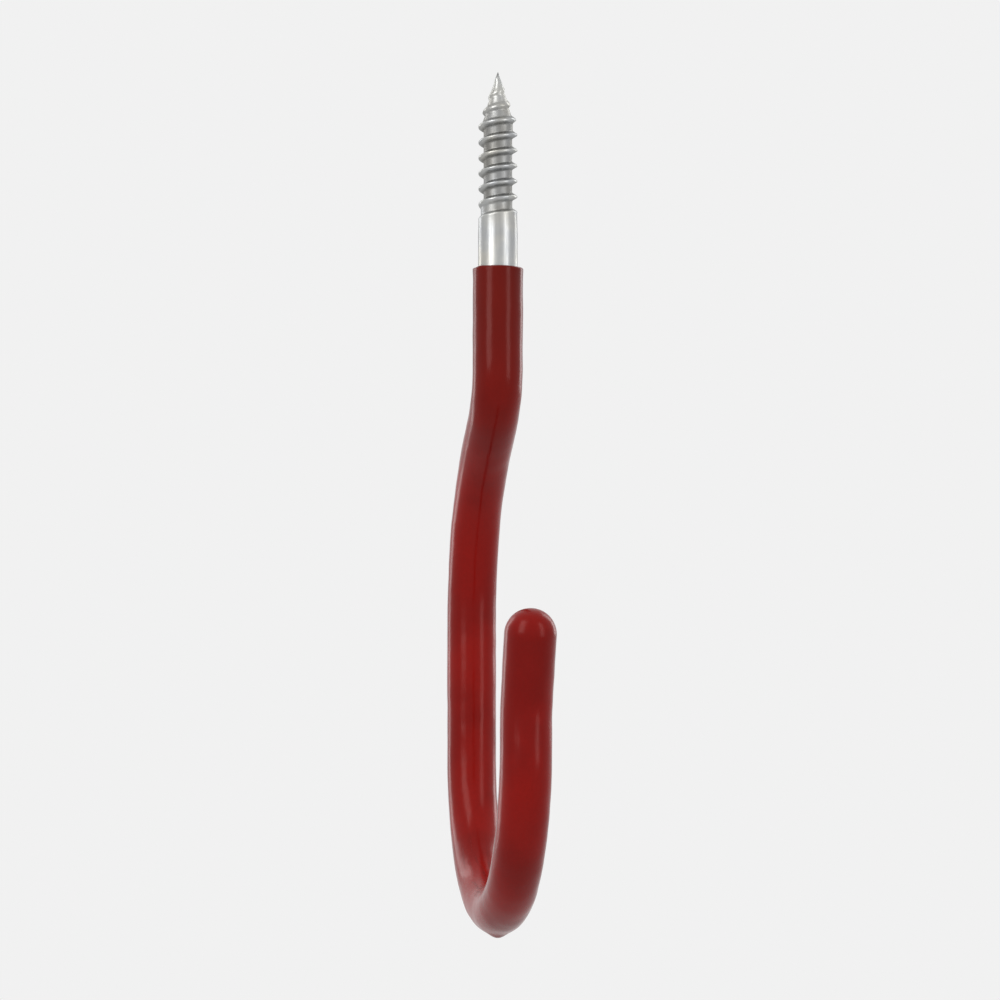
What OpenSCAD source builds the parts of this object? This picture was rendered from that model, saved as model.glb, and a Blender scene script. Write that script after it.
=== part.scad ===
// Screw-in bicycle hook: a bent steel rod with a wood thread, dipped in vinyl below the ceiling line.
// The origin is on the screw's axis, where the shank goes into the ceiling. The screw points up,
// the offset leg is on the -X side and the free tip is on the +X side.

/* [Rod] */
// Diameter of the steel rod
rod_d = 8; // [7:0.5:9.5]
// Depth of the whole hook, from the ceiling to the lowest point of the coated saddle
drop = 127; // [118:1:150]
// Clear width between the offset leg and the free leg
mouth_w = 50; // [44:1:60]
// Depth of the neck's corner below the ceiling, where the rod leaves the screw's axis
neck_len = 25; // [20:1:34]
// Angle at which the rod leaves the screw's axis for the offset leg
kink_angle = 55; // [48:1:60]
// Radius of the sharp bend below the neck, at the middle of the rod
neck_bend_r = 12; // [9:0.5:15]
// Radius of the soft bend into the offset leg, at the middle of the rod
leg_bend_r = 40; // [32:1:46]
// Straight rise of the free leg above the saddle's half circle
tip_rise = 4; // [2:0.5:8]
// Angle by which the free tip leans outwards
flare_angle = 20; // [10:1:30]
// Radius of the bend below the free tip, at the middle of the rod
flare_r = 20; // [16:1:26]
// Straight length of the free tip, up to the middle of its round end
flare_len = 10; // [6:0.5:14]
// Chamfer round the cut end of the rod, inside the coated tip
end_chamfer = 1; // [0.6:0.1:1.4]

/* [Coating] */
// Thickness of the vinyl on the rod
coat_t = 0.8; // [0.6:0.05:1.1]
// Thickness of the vinyl over the cut end of the rod
tip_wall = 3; // [2.4:0.1:3.5]
// Rounding of the coating's upper edge
lip_r = 0.4; // [0.25:0.05:0.5]

/* [Screw] */
// Step from the rod down to the shank, on the radius
shank_step = 0.2; // [0.15:0.05:0.4]
// Length of the plain shank between the shoulder and the thread
shank_len = 8; // [6:0.5:12]
// Length of the thread, with its point
thread_len = 30; // [24:1:38]
// Rise of the thread for each turn
pitch = 3; // [2.6:0.1:3.6]
// Height of the thread above its root
thread_depth = 1; // [0.7:0.05:1.25]
// Width of the flat top of the thread
crest_w = 0.4; // [0.3:0.05:0.5]
// Slope of each side of the thread, from square to the axis
flank_angle = 30; // [22:1:36]
// Length of the tapering point
point_len = 10; // [8:0.5:12]

/* [Hidden] */

// Gap between the rod and the vinyl round it
bond_gap = 0.02;
// How much thicker the rod is in its bends, where the straight runs enter it
bend_swell = 0.05;
// How far a straight run reaches into the bends at its ends
run_lap = 0.2;
// How far a cut runs past the face that it starts from
overrun = 1;

// Sides of the rod, and steps in a full turn of a bend, where they are drawn as facets
ROD_SIDES = 32;
BEND_STEPS = 64;

// Places along the thread in one turn
TURN_STEPS = 32;
// How far the top of the thread lies inside the shank's surface
land_inset = 0.05;
// How far the thread's solid reaches down into the shank, and where its helix starts in there
thread_root_in = 1;
thread_start_in = 0.4;
// Share of the pitch that the last turn keeps clear of the very point
point_gap_share = 0.2;

rod_r = rod_d / 2;
coat_r = rod_r + coat_t;
shank_r = rod_r - shank_step;
core_r = rod_r + bond_gap;

// The saddle's half circle is centred under the screw, so the load hangs in line with it.
saddle_r = mouth_w / 2 + coat_r;
saddle_z = saddle_r + coat_r + bend_swell - drop;

// Each bend takes this length off both of the straight runs that it joins.
neck_tangent = neck_bend_r * tan(kink_angle / 2);
leg_tangent = leg_bend_r * tan(kink_angle / 2);

neck_run = neck_len - neck_tangent;
diagonal_run = saddle_r / sin(kink_angle) - neck_tangent - leg_tangent;
leg_top_z = -neck_len - saddle_r / tan(kink_angle) - leg_tangent;
leg_run = leg_top_z - saddle_z;

// The rod's course from the end of its neck to the start of its tip. A straight run is [length] and
// a bend is [angle, radius]. On the way down a positive angle turns towards the -X side.
COURSE = [
    [kink_angle, neck_bend_r],
    [diagonal_run],
    [-kink_angle, leg_bend_r],
    [leg_run],
    [-180, saddle_r],
    [tip_rise],
    [flare_angle, flare_r]
];

// The way that the rod heads at an angle from straight down, and the way that a positive bend turns
function heading(angle) = [-sin(angle), -cos(angle)];
function turning(angle) = [-cos(angle), sin(angle)];

// Where the rod is after the first steps of its course, as [x, z, angle from straight down]
function place(steps) =
    steps == 0 ? [0, -neck_run, 0]
    : let (before = place(steps - 1), step = COURSE[steps - 1], angle = before[2])
      let (from = [before[0], before[1]], side = sign(step[0]))
      len(step) == 1 ? [each from + step[0] * heading(angle), angle]
      : let (centre = from + side * step[1] * turning(angle), after = angle + step[0])
        [each centre - side * step[1] * turning(after), after];

// Puts a shape that is drawn along +Z where the rod is after the first steps of its course.
module at_place(steps) {
    here = place(steps);
    translate([here[0], 0, here[1]])
        rotate([0, 180 + here[2], 0])
        children();
}

// One bend of the rod, from the origin: it starts along +Z and turns towards +X, or -X if negative.
module bend(angle, bend_r, radius) {
    rotate([0, 0, 90 - 90 * sign(angle)])
        translate([bend_r, 0, 0])
        rotate([90, 0, 180])
        rotate_extrude(angle = abs(angle), $fn = BEND_STEPS)
        translate([bend_r, 0])
        circle(r = radius, $fn = ROD_SIDES);
}

// The bent rod between its neck and its tip, at a radius
module bent_rod(radius) {
    for (i = [0 : len(COURSE) - 1]) {
        step = COURSE[i];
        at_place(i)
            if (len(step) == 1) {
                translate([0, 0, -run_lap])
                    cylinder(r = radius, h = step[0] + 2 * run_lap, $fn = ROD_SIDES);
            } else {
                bend(step[0], step[1], radius + bend_swell);
            }
    }
}

// The rod's straight neck, from the first bend up to a height, at a radius
module neck(radius, top_z) {
    translate([0, 0, -neck_run - run_lap])
        cylinder(r = radius, h = top_z + neck_run + run_lap, $fn = ROD_SIDES);
}

// The rod's straight tip with its chamfered end, larger all round by a gap
module rod_tip(gap) {
    radius = rod_r + gap;
    end = flare_len + coat_r - tip_wall + gap;
    at_place(len(COURSE))
        rotate_extrude($fn = ROD_SIDES)
        polygon([
            [0, -run_lap],
            [radius, -run_lap],
            [radius, end - end_chamfer],
            [radius - end_chamfer, end],
            [0, end]
        ]);
}

// Radius of the thread's top at a height: level up to the point, then a straight taper to nothing
function land_r(z) = (shank_r - land_inset) * min(1, (shank_len + thread_len - z) / point_len);

// The thread with its core and point, as one closed surface. Four points are drawn at each place
// along the helix: the two edges of the thread's top, then the two edges of the groove above it.
module thread() {
    flank_w = thread_depth * tan(flank_angle);
    rises = [0, crest_w, crest_w + flank_w, pitch - flank_w];
    depth_shares = [0, 0, 1, 1];
    count = len(rises);
    start_z = shank_len - thread_start_in;
    top_z = shank_len + thread_len;
    last = floor(TURN_STEPS * ((top_z - start_z) / pitch - 1 - point_gap_share));

    // The groove gets deeper over the first turn, and shallower again along the point.
    function depth(i, k) =
        depth_shares[k] * thread_depth
        * min(1, i / TURN_STEPS, (last - i) / TURN_STEPS * pitch / point_len);
    function height(i, k) = start_z + pitch * i / TURN_STEPS + rises[k];
    function ring_point(i, radius, z) =
        let (angle = 360 * i / TURN_STEPS) [radius * cos(angle), radius * sin(angle), z];
    function thread_point(i, k) =
        let (z = height(i, k)) ring_point(i, land_r(z) - depth(i, k), z);

    helix = [for (i = [0 : last], k = [0 : count - 1]) thread_point(i, k)];
    end_turn = [for (i = [last + 1 : last + TURN_STEPS]) thread_point(i, 0)];
    base = [
        for (i = [0 : TURN_STEPS - 1])
            ring_point(i, land_r(shank_len), shank_len - thread_root_in)
    ];
    tip = [0, 0, top_z];

    // Where a point is in the list that holds them all. The point after the last one of a place
    // is the first one a turn further on.
    function at(i, k) =
        k == count ? at(i + TURN_STEPS, 0)
        : i <= last ? i * count + k
        : len(helix) + i - last - 1;
    function at_base(i) = len(helix) + len(end_turn) + i;
    at_tip = at_base(TURN_STEPS);

    groove_faces = [
        for (i = [0 : last - 1], k = [0 : count - 1])
            each [
                [at(i, k), at(i, k + 1), at(i + 1, k)],
                [at(i + 1, k), at(i, k + 1), at(i + 1, k + 1)]
            ]
    ];
    base_faces = [
        for (i = [0 : TURN_STEPS - 2])
            [at_base(i), at(i, 0), at(i + 1, 0), at_base(i + 1)]
    ];
    // The last face of the base also meets every point of the first place, all on one line.
    base_seam = [
        at_base(TURN_STEPS - 1), at(TURN_STEPS - 1, 0), at(TURN_STEPS, 0),
        for (k = [count - 1 : -1 : 0]) at(0, k),
        at_base(0)
    ];
    point_faces = [
        for (i = [last + 1 : last + TURN_STEPS - 1]) [at(i, 0), at_tip, at(i + 1, 0)]
    ];
    // The first face of the point meets every point of the last place in the same way.
    point_seam = [
        at(last + 1, 0),
        for (k = [0 : count]) at(last, k),
        at_tip
    ];
    underside = [for (i = [0 : TURN_STEPS - 1]) at_base(i)];

    polyhedron(
        points = [each helix, each end_turn, each base, tip],
        faces = [each groove_faces, each base_faces, base_seam, each point_faces, point_seam, underside]
    );
}

module steel_hook() {
    color("silver") {
        neck(rod_r, 0);
        bent_rod(rod_r);
        rod_tip(0);
        translate([0, 0, -run_lap])
            cylinder(r = shank_r, h = run_lap + shank_len, $fn = ROD_SIDES);
        thread();
    }
}

// The vinyl's upper end: a round neck whose upper edge is rounded
module coated_neck() {
    rotate_extrude($fn = BEND_STEPS) {
        translate([0, -neck_run - run_lap])
            square([coat_r, neck_run + run_lap - lip_r]);
        translate([0, -lip_r])
            square([coat_r - lip_r, lip_r]);
        translate([coat_r - lip_r, -lip_r])
            intersection() {
                circle(r = lip_r, $fn = ROD_SIDES);
                square([lip_r, lip_r]);
            }
    }
}

// The vinyl's free end: straight, with a round tip
module coated_tip() {
    at_place(len(COURSE))
        rotate_extrude($fn = BEND_STEPS) {
            translate([0, -run_lap])
                square([coat_r, run_lap + flare_len]);
            translate([0, flare_len])
                intersection() {
                    circle(r = coat_r, $fn = BEND_STEPS);
                    square([coat_r, coat_r]);
                }
        }
}

module vinyl_coating() {
    color("firebrick")
        difference() {
            union() {
                coated_neck();
                bent_rod(coat_r);
                coated_tip();
            }
            union() {
                neck(core_r, overrun);
                bent_rod(core_r);
                rod_tip(bond_gap);
            }
        }
}

steel_hook();
vinyl_coating();
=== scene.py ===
"""Looks for a screw-in bicycle hook: a bent steel rod with a wood thread, dipped in red vinyl.

Lengths are in metres and angles in radians, unless a name says otherwise. The screw points up along +Z and
meets the ceiling at the origin. The rod's course below the ceiling lies in the XZ plane.
"""

import math

import bpy
import numpy as np
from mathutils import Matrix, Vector, noise


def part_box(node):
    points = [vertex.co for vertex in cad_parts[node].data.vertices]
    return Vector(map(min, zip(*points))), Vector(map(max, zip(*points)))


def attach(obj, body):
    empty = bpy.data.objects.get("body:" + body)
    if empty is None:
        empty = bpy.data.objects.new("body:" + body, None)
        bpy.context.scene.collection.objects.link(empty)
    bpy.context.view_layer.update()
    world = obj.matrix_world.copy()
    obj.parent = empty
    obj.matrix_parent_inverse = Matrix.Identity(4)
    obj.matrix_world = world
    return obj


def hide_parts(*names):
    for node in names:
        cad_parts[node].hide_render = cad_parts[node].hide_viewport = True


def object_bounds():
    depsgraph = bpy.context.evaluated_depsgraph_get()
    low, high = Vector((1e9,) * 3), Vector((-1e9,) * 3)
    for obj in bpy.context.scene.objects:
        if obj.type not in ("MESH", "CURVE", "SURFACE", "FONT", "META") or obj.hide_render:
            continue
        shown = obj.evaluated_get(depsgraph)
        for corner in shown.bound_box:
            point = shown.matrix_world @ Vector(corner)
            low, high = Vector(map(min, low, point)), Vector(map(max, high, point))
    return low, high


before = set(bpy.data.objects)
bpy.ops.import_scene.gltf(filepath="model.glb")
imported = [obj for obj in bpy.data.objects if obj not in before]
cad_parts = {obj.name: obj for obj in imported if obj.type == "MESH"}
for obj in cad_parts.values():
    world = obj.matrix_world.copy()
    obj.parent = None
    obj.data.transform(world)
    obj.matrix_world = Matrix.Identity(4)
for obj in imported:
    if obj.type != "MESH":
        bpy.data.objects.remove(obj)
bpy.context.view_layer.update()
steel_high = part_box("steel_hook")[1]
coat_low, coat_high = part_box("vinyl_coating")

MM = 0.001

# The rod and its coating, from the boxes of the two nodes. Both are a little thicker in the bends.
BEND_SWELL = 0.05 * MM
BOND_GAP = 0.02 * MM
ROD_R = steel_high.y - BEND_SWELL
COAT_R = coat_high.y - BEND_SWELL
CORE_R = ROD_R + BOND_GAP
TIP_WALL = 3 * MM
ROD_END_CHAMFER = 1 * MM

# The course of the rod's middle line
NECK_LEN = 25 * MM
KINK_ANGLE = math.radians(55)
NECK_BEND_R = 12 * MM
LEG_BEND_R = 40 * MM
SADDLE_R = -coat_low.x - coat_high.y
SADDLE_Z = coat_low.z + SADDLE_R + coat_high.y
TIP_RISE = 4 * MM
FLARE_ANGLE = math.radians(20)
FLARE_R = 20 * MM
FLARE_LEN = 10 * MM
# A bent rod has no sudden change of curve: each bend eases in and out over this length.
BEND_EASE = 7 * MM
COURSE_STEP = 0.05 * MM

# The screw
SHANK_STEP = 0.2 * MM
SHANK_R = ROD_R - SHANK_STEP
SHANK_LEN = 8 * MM
SHOULDER_EASE = 0.08 * MM
THREAD_TOP = steel_high.z
# The thread's top lies a little inside the shank's surface, and it starts a little before the shank's end.
LAND_INSET = 0.05 * MM
THREAD_R = SHANK_R - LAND_INSET
THREAD_START_IN = 0.4 * MM
THREAD_START = SHANK_LEN - THREAD_START_IN
# The shank's own rings stop this far below its end, and faces lead from there to the thread.
SHANK_RINGS_IN = 1 * MM
SHANK_RINGS_TOP = SHANK_LEN - SHANK_RINGS_IN
PITCH = 3 * MM
THREAD_DEPTH = 1 * MM
CREST_W = 0.4 * MM
FLANK_ANGLE = math.radians(30)
FLANK_W = THREAD_DEPTH * math.tan(FLANK_ANGLE)
THREAD_ROUNDING_SHARE = 0.22
POINT_LEN = 10 * MM
POINT_GAP_SHARE = 0.2

# How finely the meshes are drawn
STEEL_SIDES = 96
PROFILE_STEPS = 24
SHANK_RING_STEP = 0.5 * MM
STEEL_RING_STEP = 1.5 * MM
STEEL_EDGE_ANGLE = math.radians(40)
COAT_SIDES = 72
COAT_RING_STEP = 0.5 * MM
COAT_EDGE_ANGLE = math.radians(60)
ROUNDING_STEPS = 8
DOME_STEPS = 16

# The uneven skin that dipping leaves, as heights above the coating's plain radius
WAVE_SIZE = 9 * MM
WAVE_HEIGHT = 0.09 * MM
RIPPLE_SIZE = 3.2 * MM
RIPPLE_HEIGHT = 0.045 * MM
SAG_HEIGHT = 0.16 * MM
LIP_R = 0.4 * MM
LIP_SIZE = 1.4 * MM
LIP_HEIGHT = 0.07 * MM
LIP_WAVE = 0.16 * MM
LIP_WAVE_SIZE = 2.6 * MM
# How far the middle of the lip's wave lies below the plain lip, as a share of the wave
LIP_WAVE_DROP = 0.5
DRIP_R = 1.5 * MM
DRIP_HEIGHT = 0.6 * MM


# The rod's course

def course_line():
    """The rod's middle line as distances from the ceiling, x and z, a little past both of its ends."""
    neck_tangent = NECK_BEND_R * math.tan(KINK_ANGLE / 2)
    leg_tangent = LEG_BEND_R * math.tan(KINK_ANGLE / 2)
    leg_top_z = -NECK_LEN - SADDLE_R / math.tan(KINK_ANGLE) - leg_tangent
    # Each run has its length and the angle that it turns through. The first and last reach past the ends.
    runs = [
        (BEND_EASE, 0),
        (NECK_LEN - neck_tangent, 0),
        (NECK_BEND_R * KINK_ANGLE, KINK_ANGLE),
        (SADDLE_R / math.sin(KINK_ANGLE) - neck_tangent - leg_tangent, 0),
        (LEG_BEND_R * KINK_ANGLE, -KINK_ANGLE),
        (leg_top_z - SADDLE_Z, 0),
        (SADDLE_R * math.pi, -math.pi),
        (TIP_RISE, 0),
        (FLARE_R * FLARE_ANGLE, FLARE_ANGLE),
        (FLARE_LEN + COAT_R + BEND_EASE, 0),
    ]
    lengths, turns = zip(*runs)
    ends = np.concatenate([[0], np.cumsum(lengths)])
    angles = np.concatenate([[0], np.cumsum(turns)])
    along = np.arange(0, ends[-1], COURSE_STEP)
    angle = np.interp(along + COURSE_STEP / 2, ends, angles)
    x = np.concatenate([[0], np.cumsum(-np.sin(angle) * COURSE_STEP)[:-1]])
    z = BEND_EASE + np.concatenate([[0], np.cumsum(-np.cos(angle) * COURSE_STEP)[:-1]])

    # A moving average over an odd number of steps eases the bends.
    window = np.hanning(round(BEND_EASE / COURSE_STEP) | 1)
    window /= window.sum()
    lost = len(window) // 2
    x, z = (np.convolve(line, window, "valid") for line in (x, z))
    distance = along[lost:-lost] - BEND_EASE
    return distance, x, z


DISTANCE, LINE_X, LINE_Z = course_line()
HEADING_X = np.gradient(LINE_X)
HEADING_Z = np.gradient(LINE_Z)
# Where the straight tip's round end begins, the cut end of the rod in it, and the middle of the saddle
DOME_START = DISTANCE[-1] - BEND_EASE / 2 - COAT_R
ROD_END = DOME_START + COAT_R - TIP_WALL
SADDLE_MIDDLE = DOME_START - FLARE_LEN - FLARE_R * FLARE_ANGLE - TIP_RISE - SADDLE_R * math.pi / 2


def rod_frame(along):
    """The rod's middle at a distance along it, and the way across the rod in its own plane."""
    x, z, heading_x, heading_z = (
        float(np.interp(along, DISTANCE, line)) for line in (LINE_X, LINE_Z, HEADING_X, HEADING_Z)
    )
    across = Vector((heading_z, 0, -heading_x)).normalized()
    return Vector((x, 0, z)), across


def evenly(start, end, step):
    """Numbers from start to end with equal gaps of about one step."""
    return np.linspace(start, end, max(2, round(abs(end - start) / step) + 1))


def rounding(steps):
    """Sine and cosine of angles from 0 to a quarter turn."""
    return [(math.sin(a), math.cos(a)) for a in np.linspace(0, math.pi / 2, steps + 1)]


# Meshes

class Skin:
    """A closed mesh that grows ring by ring, with as many points in each ring.

    Each point also has a place on the rod as if it were straight, and a mark from 0 to 1.
    """

    def __init__(self, sides):
        self.sides = sides
        self.points = []
        self.places = []
        self.marks = []
        self.faces = []

    def add_point(self, point, place, mark=0.0):
        self.points.append(tuple(point))
        self.places.append(tuple(place))
        self.marks.append(mark)
        return len(self.points) - 1

    def directions(self):
        """The cosine and sine of each side of a ring."""
        for i in range(self.sides):
            turn = math.tau * i / self.sides
            yield math.cos(turn), math.sin(turn)

    def rod_ring(self, along, radius, raised=None):
        """A ring round the rod at a distance along it.

        The function raised, if given, says how far each point moves off the ring.
        """
        middle, across = rod_frame(along)
        ring = []
        for cos, sin in self.directions():
            outward = Vector((0, cos, 0)) + sin * across
            point = middle + radius * outward
            if raised:
                point += raised(point, outward, along)
            ring.append(self.add_point(point, (radius * cos, radius * sin, along)))
        return ring

    def level_ring(self, z, radius):
        """A level ring of the screw, which is above the ceiling line."""
        return [
            self.add_point((-radius * sin, radius * cos, z), (radius * cos, radius * sin, -z))
            for cos, sin in self.directions()
        ]

    def join(self, ring, other):
        for i in range(self.sides):
            after = (i + 1) % self.sides
            self.faces.append([ring[i], ring[after], other[after], other[i]])

    def join_all(self, rings):
        for ring, other in zip(rings, rings[1:]):
            self.join(ring, other)

    def close(self, ring, along):
        """Closes an end with a point on the rod's middle line. A closed first ring is given backwards."""
        middle = rod_frame(along)[0]
        point = self.add_point(middle, (0, 0, along))
        for i in range(self.sides):
            self.faces.append([ring[i], ring[(i + 1) % self.sides], point])

    def make(self, name, edge_angle):
        """The mesh as an object, smooth but for edges sharper than an angle."""
        mesh = bpy.data.meshes.new(name)
        mesh.from_pydata(self.points, [], self.faces)
        mesh.update()
        for attribute, kind, field, values in (
            ("rod_place", "FLOAT_VECTOR", "vector", np.ravel(self.places)),
            ("mark", "FLOAT", "value", np.array(self.marks)),
        ):
            layer = mesh.attributes.new(attribute, kind, "POINT")
            layer.data.foreach_set(field, values.astype(np.float32))
        mesh.shade_smooth()
        mesh.set_sharp_from_angle(angle=edge_angle)
        piece = bpy.data.objects.new(name, mesh)
        bpy.context.scene.collection.objects.link(piece)
        return piece


def groove_share(rise):
    """The groove's depth at a rise above the thread top's lower edge: 0 on the top and 1 at the root."""
    beside = abs(((rise - CREST_W / 2) / PITCH + 0.5) % 1 - 0.5) * PITCH
    slope = (beside - CREST_W / 2) / FLANK_W
    ease = THREAD_ROUNDING_SHARE

    def eased(x):
        if x <= -ease:
            return 0.0
        return x if x >= ease else (x + ease) ** 2 / (4 * ease)

    return eased(slope) if slope < 0.5 else 1 - eased(1 - slope)


def add_thread(skin, shank_ring):
    """The thread's one long groove, from the shank's ring up to the screw's point."""
    sides, steps = skin.sides, PROFILE_STEPS
    last = math.floor(sides * ((THREAD_TOP - THREAD_START) / PITCH - 1 - POINT_GAP_SHARE))
    numbers = {}

    def add_place(i, k):
        """Adds the point at place i along the helix and step k up the groove's profile."""
        z = THREAD_START + PITCH * (i / sides + k / steps)
        top_r = THREAD_R * min(1, (THREAD_TOP - z) / POINT_LEN)
        # The groove gets deeper over the first turn, and shallower again along the point.
        fade = min(1, i / sides, max(0, last - i) / sides * PITCH / POINT_LEN)
        share = groove_share(PITCH * k / steps)
        radius = top_r - THREAD_DEPTH * share * fade
        turn = math.tau * i / sides
        cos, sin = math.cos(turn), math.sin(turn)
        point = (-radius * sin, radius * cos, z)
        numbers[i, k] = skin.add_point(point, (radius * cos, radius * sin, -z), share * fade)

    def at(i, k):
        return numbers[i, k] if k < steps else numbers[i + sides, 0]

    for i in range(last + 1):
        for k in range(steps):
            add_place(i, k)
    for i in range(last + 1, last + sides + 1):
        add_place(i, 0)
    for i in range(last):
        for k in range(steps):
            skin.faces.append([at(i, k), at(i + 1, k), at(i + 1, k + 1), at(i, k + 1)])

    for i in range(sides - 1):
        skin.faces.append([shank_ring[i], shank_ring[i + 1], at(i + 1, 0), at(i, 0)])
    # The shank's last face also meets every point of the groove's first place, all on one line.
    first_place = [at(0, k) for k in range(steps + 1)]
    skin.faces.append([shank_ring[-1], shank_ring[0], *first_place, at(sides - 1, 0)])

    tip = skin.add_point((0, 0, THREAD_TOP), (0, 0, -THREAD_TOP))
    for i in range(last + 1, last + sides):
        skin.faces.append([at(i, 0), at(i + 1, 0), tip])
    # The point's first face meets the groove's last place in the same way.
    last_place = [at(last, k) for k in range(steps, -1, -1)]
    skin.faces.append([*last_place, at(last + 1, 0), tip])


def make_steel_hook():
    """The bent rod with its screw, from the cut end inside the coating up to the point of the thread."""
    skin = Skin(STEEL_SIDES)
    rings = [
        skin.rod_ring(ROD_END, ROD_R - ROD_END_CHAMFER),
        skin.rod_ring(ROD_END - ROD_END_CHAMFER, ROD_R),
    ]
    for along in evenly(ROD_END - ROD_END_CHAMFER, SHOULDER_EASE, STEEL_RING_STEP)[1:]:
        rings.append(skin.rod_ring(along, ROD_R))
    for sin, cos in rounding(ROUNDING_STEPS)[1:]:
        rings.append(skin.level_ring(-SHOULDER_EASE * (1 - sin), ROD_R - SHOULDER_EASE * (1 - cos)))
    for z in evenly(0, SHANK_RINGS_TOP, SHANK_RING_STEP):
        rings.append(skin.level_ring(z, SHANK_R))
    skin.join_all(rings)
    skin.close(rings[0][::-1], ROD_END)
    add_thread(skin, rings[-1])
    return skin.make("bent_rod_and_screw", STEEL_EDGE_ANGLE)


def skin_height(point, outward, along):
    """How far the vinyl stands off its plain surface at a point, as a move."""
    wave = WAVE_HEIGHT * noise.noise(point / WAVE_SIZE)
    ripple = RIPPLE_HEIGHT * noise.noise(point / RIPPLE_SIZE)
    near_lip = math.exp(-((along / LIP_SIZE) ** 2))
    sag = SAG_HEIGHT * max(0, -outward.z) ** 2
    lowest = Vector((0, 0, coat_low.z))
    drip = DRIP_HEIGHT * math.exp(-(((point - lowest).length / DRIP_R) ** 2))
    height = wave + ripple + sag + drip + LIP_HEIGHT * near_lip
    lip_wave = LIP_WAVE * (noise.noise(point / LIP_WAVE_SIZE) - LIP_WAVE_DROP) * near_lip
    return height * outward + Vector((0, 0, lip_wave))


def make_vinyl_coating():
    """The dipped skin: its outside from the lip to the domed tip, and its inside against the rod."""
    skin = Skin(COAT_SIDES)
    outside = []
    for sin, cos in rounding(ROUNDING_STEPS):
        outside.append(skin.rod_ring(LIP_R * (1 - cos), COAT_R - LIP_R * (1 - sin), skin_height))
    for along in evenly(LIP_R, DOME_START, COAT_RING_STEP)[1:]:
        outside.append(skin.rod_ring(along, COAT_R, skin_height))
    for sin, cos in rounding(DOME_STEPS)[1:-1]:
        outside.append(skin.rod_ring(DOME_START + COAT_R * sin, COAT_R * cos, skin_height))

    core_end = ROD_END + BOND_GAP
    inside = [
        skin.rod_ring(along, CORE_R)
        for along in evenly(BOND_GAP, core_end - ROD_END_CHAMFER, STEEL_RING_STEP)
    ]
    inside.append(skin.rod_ring(core_end, CORE_R - ROD_END_CHAMFER))

    skin.join_all(outside[::-1] + inside)
    skin.close(outside[-1][::-1], DOME_START + COAT_R)
    skin.close(inside[-1], core_end)
    return skin.make("dipped_vinyl_skin", COAT_EDGE_ANGLE)


# Materials

class Look:
    """The nodes of a material or a world, with short ways to add them."""

    def __init__(self, owner):
        owner.use_nodes = True
        self.owner = owner
        self.tree = owner.node_tree
        self.shader = self.tree.nodes.get("Principled BSDF")

    def add(self, kind, inputs=(), output=0, **settings):
        """Adds a node, sets or links its inputs, and returns one of its outputs."""
        made = self.tree.nodes.new("ShaderNode" + kind)
        for name, value in settings.items():
            setattr(made, name, value)
        for name, value in dict(inputs).items():
            self.feed(made.inputs[name], value)
        return made.outputs[output]

    def feed(self, socket, value):
        if isinstance(value, bpy.types.NodeSocket):
            self.tree.links.new(value, socket)
        else:
            socket.default_value = value

    def place(self):
        """A point's place on the object."""
        return self.add("TexCoord", output="Object")

    def rod_place(self):
        """A point's place on the rod as if it were straight, with its distance from the ceiling as Z."""
        return self.add("Attribute", attribute_name="rod_place", output="Vector")

    def mark(self):
        return self.add("Attribute", attribute_name="mark", output="Fac")

    def part(self, vector, axis):
        return self.add("SeparateXYZ", {0: vector}, output=axis)

    def stretched(self, vector, scale):
        return self.add("VectorMath", {0: vector, 1: scale}, operation="MULTIPLY")

    def noise(self, vector, size, detail=2.0, roughness=0.5):
        """Noise from 0 to 1 with patches of about a size."""
        return self.add(
            "TexNoise", {"Vector": vector, "Scale": 1 / size, "Detail": detail, "Roughness": roughness}
        )

    def ranged(self, value, low, high, to_low=0.0, to_high=1.0, smooth=True):
        """The value, with low to high brought to the other two numbers and cut off there."""
        return self.add(
            "MapRange",
            {"Value": value, "From Min": low, "From Max": high, "To Min": to_low, "To Max": to_high},
            interpolation_type="SMOOTHSTEP" if smooth else "LINEAR",
        )

    def sum(self, a, b):
        return self.add("Math", {0: a, 1: b}, operation="ADD")

    def product(self, a, b):
        return self.add("Math", {0: a, 1: b}, operation="MULTIPLY")

    def larger(self, a, b):
        return self.add("Math", {0: a, 1: b}, operation="MAXIMUM")

    def mixed(self, share, a, b):
        """Colour a with a share of colour b."""
        made = self.tree.nodes.new("ShaderNodeMix")
        made.data_type = "RGBA"
        # The node has sockets of the same names for each kind of data. These are the ones for colours.
        for number, value in ((0, share), (6, a), (7, b)):
            self.feed(made.inputs[number], value)
        return made.outputs[2]

    def bump(self, height, depth, under=None):
        """A surface that rises by a depth where height is 1, over another one."""
        inputs = {"Height": height, "Distance": depth}
        if under:
            inputs["Normal"] = under
        return self.add("Bump", inputs)

    def finish(self, inputs):
        """Sets or links the shader's inputs, and returns the material."""
        for name, value in inputs.items():
            self.feed(self.shader.inputs[name], value)
        return self.owner


def colour(red, green, blue):
    return (red, green, blue, 1.0)


# Most values of a noise lie in this range.
NOISE_RANGE = (0.3, 0.7)

# Red vinyl: its colours, as linear light
FULL_RED = colour(0.242, 0.0067, 0.0047)
DULL_RED = colour(0.190, 0.0052, 0.0038)
# Browner near the ceiling: partly a thinner coat, partly painted shade under the ceiling
THIN_COAT_AND_SHADE_RED = colour(0.100, 0.0060, 0.0032)
GRAIN_RED = colour(0.092, 0.0037, 0.0028)
SCUFF_RED = colour(0.030, 0.0050, 0.0045)
SCRATCH_RED = colour(0.30, 0.040, 0.032)
VINYL_SPECULAR_LEVEL = 0.17
VINYL_SPECULAR_TINT = colour(1.0, 0.62, 0.58)
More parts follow.
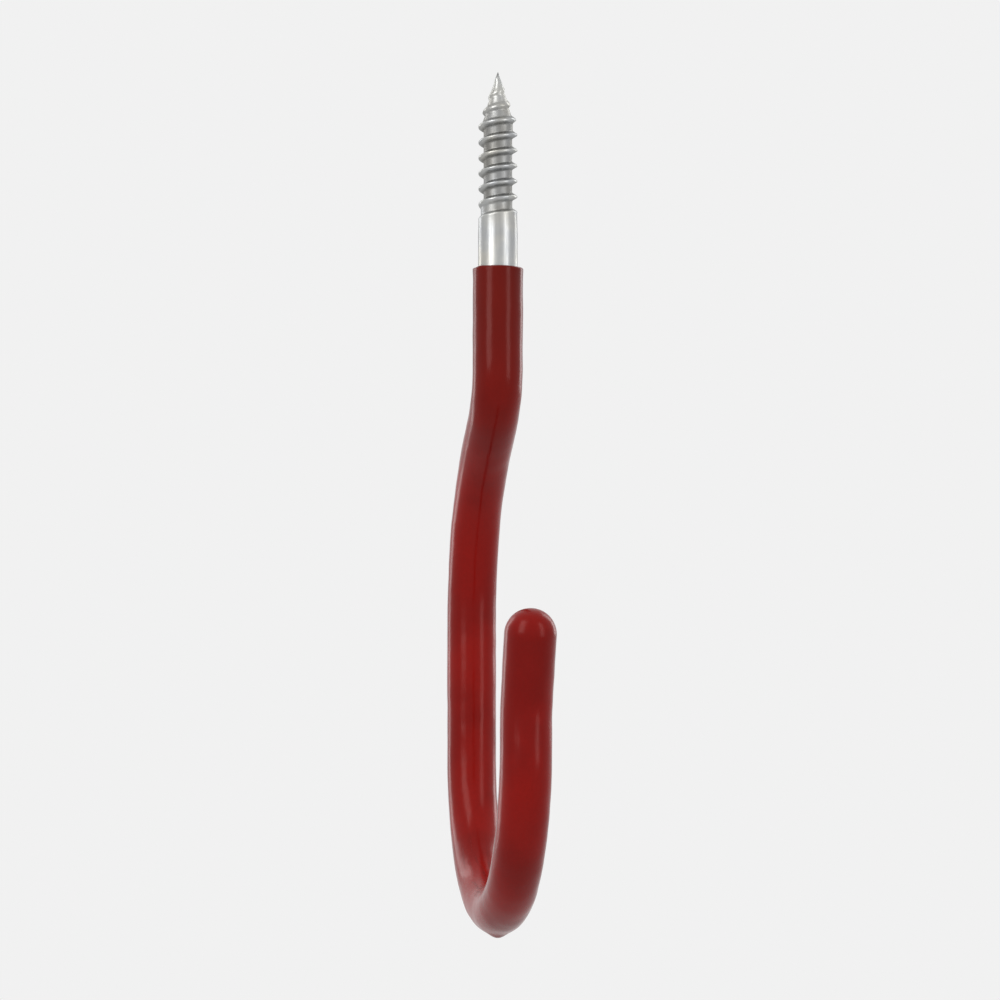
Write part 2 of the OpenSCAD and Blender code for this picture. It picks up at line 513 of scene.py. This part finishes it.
# Its pigment, and a thinner coat with painted shade towards the ceiling
VINYL_PATCH_SIZE = 14 * MM
VINYL_PATCH_RANGE = (0.35, 0.65)
GRAIN_SIZE = 0.7 * MM
GRAIN_SHARE = 0.10
THIN_COAT_AND_SHADE_START = 2 * MM
THIN_COAT_AND_SHADE_END = 46 * MM
THIN_COAT_AND_SHADE_SHARE = 0.75
# Its wear: how far it reaches each way from the saddle's middle, and round the rod from its inner side
WEAR_FULL_TO = 8 * MM
WEAR_END = 34 * MM
WEAR_SIDE_FULL = -0.85 * COAT_R
WEAR_SIDE_END = -0.1 * COAT_R
SCUFF_SIZE = 0.9 * MM
SCUFF_STRETCH = (1.0, 1.0, 0.10)
SCUFF_RANGE = (0.48, 0.72)
SCUFF_SHARE = 0.45
SCRATCH_SIZE = 1.0 * MM
SCRATCH_STRETCH = (0.15, 1.0, 3.0)
SCRATCH_RANGE = (0.60, 0.70)
SCRATCH_ROUGHNESS = 0.65
SCRATCH_SHARE = 0.20
SCRATCH_DEPTH = 0.003 * MM
# Its gloss and its small bumps
SHEEN_PATCH_SIZE = 6 * MM
GLOSSY_VINYL = 0.18
SATIN_VINYL = 0.25
WORN_DULLNESS = 0.14
PEEL_SIZE = 1.5 * MM
PEEL_DEPTH = 0.014 * MM
FINE_SIZE = 0.3 * MM
FINE_DEPTH = 0.0015 * MM
PIT_GAP = 7 * MM
PIT_MIDDLE_SHARE = 0.015
PIT_EDGE_SHARE = 0.06
PIT_DEPTH = 0.02 * MM


def red_vinyl():
    """Soft red vinyl: thinner and browner at the neck with painted shade there, a faint orange peel, and
    rubbed in the saddle.
    """
    look = Look(bpy.data.materials.new("red_vinyl"))
    place, rod_place = look.place(), look.rod_place()
    along = look.part(rod_place, "Z")
    outer_side = look.part(rod_place, "Y")

    # Slow patches, a thinner coat with painted shade towards the ceiling, and a fine grain
    patches = look.ranged(look.noise(place, VINYL_PATCH_SIZE, detail=3), *VINYL_PATCH_RANGE)
    vinyl_colour = look.mixed(patches, DULL_RED, FULL_RED)
    # Painted shade: darker towards the ceiling, partly for the thinner coat there
    thin_coat_and_shade = look.ranged(along, THIN_COAT_AND_SHADE_START, THIN_COAT_AND_SHADE_END, THIN_COAT_AND_SHADE_SHARE, 0.0)
    vinyl_colour = look.mixed(thin_coat_and_shade, vinyl_colour, THIN_COAT_AND_SHADE_RED)
    grain = look.ranged(look.noise(place, GRAIN_SIZE), *NOISE_RANGE, 0.0, GRAIN_SHARE)
    vinyl_colour = look.mixed(grain, vinyl_colour, GRAIN_RED)

    # Where rims rest and slide in the saddle, its inner side is scuffed dark and finely scratched.
    from_middle = look.add("Math", {0: look.sum(along, -SADDLE_MIDDLE)}, operation="ABSOLUTE")
    in_saddle = look.ranged(from_middle, WEAR_FULL_TO, WEAR_END, 1.0, 0.0)
    inner_side = look.ranged(outer_side, WEAR_SIDE_FULL, WEAR_SIDE_END, 1.0, 0.0)
    worn = look.product(in_saddle, inner_side)
    scuffs = look.noise(look.stretched(rod_place, SCUFF_STRETCH), SCUFF_SIZE, detail=4)
    scuffs = look.product(look.ranged(scuffs, *SCUFF_RANGE), worn)
    vinyl_colour = look.mixed(look.product(scuffs, SCUFF_SHARE), vinyl_colour, SCUFF_RED)
    crossways = look.stretched(rod_place, SCRATCH_STRETCH)
    scratches = look.noise(crossways, SCRATCH_SIZE, detail=5, roughness=SCRATCH_ROUGHNESS)
    scratches = look.product(look.ranged(scratches, *SCRATCH_RANGE), worn)
    vinyl_colour = look.mixed(look.product(scratches, SCRATCH_SHARE), vinyl_colour, SCRATCH_RED)

    sheen = look.noise(place, SHEEN_PATCH_SIZE, detail=3)
    sheen = look.ranged(sheen, *NOISE_RANGE, GLOSSY_VINYL, SATIN_VINYL)
    sheen = look.sum(sheen, look.product(look.sum(scuffs, scratches), WORN_DULLNESS))

    # An orange peel, finer bumps on it, pinholes, and the scratches
    surface = look.bump(look.noise(place, PEEL_SIZE, detail=1), PEEL_DEPTH)
    surface = look.bump(look.noise(place, FINE_SIZE, detail=1), FINE_DEPTH, surface)
    spots = look.add("TexVoronoi", {"Vector": place, "Scale": 1 / PIT_GAP}, output="Distance")
    surface = look.bump(look.ranged(spots, PIT_MIDDLE_SHARE, PIT_EDGE_SHARE), PIT_DEPTH, surface)
    surface = look.bump(scratches, -SCRATCH_DEPTH, surface)
    return look.finish({
        "Base Color": vinyl_colour,
        "Roughness": sheen,
        "Specular IOR Level": VINYL_SPECULAR_LEVEL,
        "Specular Tint": VINYL_SPECULAR_TINT,
        "Normal": surface,
    })


# Zinc plate: its colours, as linear light
BLUE_ZINC = colour(0.37, 0.38, 0.39)
WARM_ZINC = colour(0.45, 0.45, 0.43)
TARNISH = colour(0.42, 0.38, 0.29)
# Darker in the thread's groove: partly dirt, partly painted shade in the groove's hollow
GROOVE_DIRT_AND_SHADE = colour(0.16, 0.155, 0.145)
ZINC_EDGE_TINT = colour(0.62, 0.62, 0.62)
# Its patches, and how much dirt and painted shade darken the groove
ZINC_PATCH_SIZE = 4 * MM
TARNISH_SIZE = 9 * MM
TARNISH_RANGE = (0.45, 0.75)
TARNISH_SHARE = 0.35
DIRT_AND_SHADE_START = 0.25
LEAST_DIRT_AND_SHADE = 0.5
MOST_DIRT_AND_SHADE = 0.85
# Its drawing marks, which run along the rod, and its grain
MARK_SIZE = 0.35 * MM
MARK_STRETCH = (1.0, 1.0, 0.06)
MARK_DEPTH = 0.006 * MM
BRIGHT_ZINC = 0.30
DULL_ZINC = 0.43
GROOVE_DULLNESS = 0.12
SPANGLE_SIZE = 0.5 * MM
SPANGLE_DEPTH = 0.006 * MM


def zinc_steel():
    """Bright zinc plate: faint drawing marks along the rod, duller in the thread's groove and darker there
    with dirt and painted shade.
    """
    look = Look(bpy.data.materials.new("zinc_steel"))
    place, groove = look.place(), look.mark()

    patches = look.ranged(look.noise(place, ZINC_PATCH_SIZE, detail=4), *NOISE_RANGE)
    plate = look.mixed(patches, BLUE_ZINC, WARM_ZINC)
    tarnish = look.ranged(look.noise(place, TARNISH_SIZE), *TARNISH_RANGE, 0.0, TARNISH_SHARE)
    plate = look.mixed(tarnish, plate, TARNISH)
    # Dirt and painted shade darken the groove by its depth, more in some patches
    most_dirt_and_shade = look.ranged(patches, 0.0, 1.0, LEAST_DIRT_AND_SHADE, MOST_DIRT_AND_SHADE)
    dirt_and_shade = look.product(look.ranged(groove, DIRT_AND_SHADE_START, 1.0), most_dirt_and_shade)
    plate = look.mixed(dirt_and_shade, plate, GROOVE_DIRT_AND_SHADE)

    marks = look.noise(look.stretched(look.rod_place(), MARK_STRETCH), MARK_SIZE, detail=3)
    dull = look.ranged(marks, *NOISE_RANGE, BRIGHT_ZINC, DULL_ZINC)
    dull = look.sum(dull, look.product(groove, GROOVE_DULLNESS))
    surface = look.bump(marks, MARK_DEPTH)
    surface = look.bump(look.noise(place, SPANGLE_SIZE, detail=3), SPANGLE_DEPTH, surface)
    return look.finish({
        "Base Color": plate,
        "Metallic": 1.0,
        "Roughness": dull,
        "Specular Tint": ZINC_EDGE_TINT,
        "Normal": surface,
    })


# The pieces and what they stand for

def dress(piece, node, material):
    piece.data.materials.append(material)
    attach(piece, "root")
    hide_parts(node)


dress(make_steel_hook(), "steel_hook", zinc_steel())
dress(make_vinyl_coating(), "vinyl_coating", red_vinyl())


# The studio

CAMERA_AZIMUTH = math.radians(80)
CAMERA_ELEVATION = math.radians(-5)
LENS_MM = 150
SENSOR_MM = 36
VIEW_HEIGHT = 190 * MM
FLOOR_Z = -1.2
FLOOR_R = 9.0
FLOOR_SIDES = 96
FLOOR_FADE_START = 2.0
FLOOR_GREY = colour(0.72, 0.72, 0.72)
WHITE = colour(1.0, 1.0, 1.0)
# How bright the backdrop looks, how bright it is as a light, and what the floor adds where it is seen
PALE = 0.88
SKY_GLOW = 0.60
FLOOR_LIFT = 0.36
SOFTBOX_HEIGHT = 1.0


def way(azimuth, elevation):
    """The way from the hook to a viewer. Azimuth 0 looks along +Y, and a quarter turn looks along -X."""
    level = math.cos(elevation)
    return Vector((math.sin(azimuth) * level, -math.cos(azimuth) * level, math.sin(elevation)))


def aim(thing, place, target):
    thing.location = place
    thing.rotation_mode = "QUATERNION"
    thing.rotation_quaternion = (target - place).to_track_quat("-Z", "Y")
    bpy.context.scene.collection.objects.link(thing)


def add_camera(target):
    data = bpy.data.cameras.new("camera")
    data.lens = LENS_MM
    data.sensor_width = SENSOR_MM
    camera = bpy.data.objects.new("camera", data)
    distance = VIEW_HEIGHT * LENS_MM / SENSOR_MM
    aim(camera, target + way(CAMERA_AZIMUTH, CAMERA_ELEVATION) * distance, target)
    bpy.context.scene.camera = camera


def add_softbox(name, target, azimuth_deg, elevation_deg, distance, width, glow):
    """A flat lamp that faces the hook. Its glow is how bright it looks, where 1 is white."""
    data = bpy.data.lights.new(name, "AREA")
    data.shape = "RECTANGLE"
    data.size = width
    data.size_y = SOFTBOX_HEIGHT
    data.energy = glow * math.pi * width * SOFTBOX_HEIGHT
    lamp = bpy.data.objects.new(name, data)
    out = way(math.radians(azimuth_deg), math.radians(elevation_deg))
    aim(lamp, target + out * distance, target)


def backdrop_rays(look):
    """1 for rays that should see the pale backdrop: from the camera, and off or through the object."""
    kinds = ("Is Camera Ray", "Is Glossy Ray", "Is Transmission Ray")
    from_camera, off_gloss, through = (look.add("LightPath", output=kind) for kind in kinds)
    return look.larger(look.larger(from_camera, off_gloss), through)


def add_floor():
    """A plain pale floor far below the hook, which fades into the backdrop."""
    mesh = bpy.data.meshes.new("floor")
    turns = [math.tau * i / FLOOR_SIDES for i in range(FLOOR_SIDES)]
    rim = [(FLOOR_R * math.cos(turn), FLOOR_R * math.sin(turn), FLOOR_Z) for turn in turns]
    mesh.from_pydata(rim, [], [list(range(FLOOR_SIDES))])
    floor = bpy.data.objects.new("floor", mesh)
    bpy.context.scene.collection.objects.link(floor)

    look = Look(bpy.data.materials.new("floor"))
    mesh.materials.append(look.finish({
        "Base Color": FLOOR_GREY,
        "Roughness": 1.0,
        "Specular IOR Level": 0.0,
    }))
    place = look.stretched(look.place(), (1.0, 1.0, 0.0))
    from_middle = look.add("VectorMath", {0: place}, output="Value", operation="LENGTH")
    faded = look.ranged(from_middle, FLOOR_FADE_START, FLOOR_R)
    lift = look.add("Emission", {"Strength": look.product(backdrop_rays(look), FLOOR_LIFT)})
    lit = look.add("AddShader", {0: look.shader.outputs[0], 1: lift})
    clear = look.add("BsdfTransparent")
    shown = look.add("MixShader", {0: faded, 1: lit, 2: clear})
    look.feed(look.tree.nodes["Material Output"].inputs["Surface"], shown)


def add_world():
    """A pale backdrop, and an even, dimmer light from all round."""
    world = bpy.data.worlds.new("world")
    bpy.context.scene.world = world
    look = Look(world)
    background = look.tree.nodes["Background"]
    strength = look.ranged(backdrop_rays(look), 0.0, 1.0, SKY_GLOW, PALE, smooth=False)
    look.feed(background.inputs["Strength"], strength)
    look.feed(background.inputs["Color"], WHITE)


low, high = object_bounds()
middle = (low + high) / 2
add_camera(middle)
add_floor()
add_world()
add_softbox("key", middle, azimuth_deg=40, elevation_deg=28, distance=1.0, width=0.42, glow=4.0)
add_softbox("fill", middle, azimuth_deg=130, elevation_deg=15, distance=1.1, width=0.30, glow=3.4)
add_softbox("rim", middle, azimuth_deg=215, elevation_deg=25, distance=1.1, width=0.32, glow=3.4)
add_softbox("back_fill", middle, azimuth_deg=310, elevation_deg=15, distance=1.1, width=0.30, glow=3.0)
bpy.context.scene.view_settings.view_transform = "Standard"
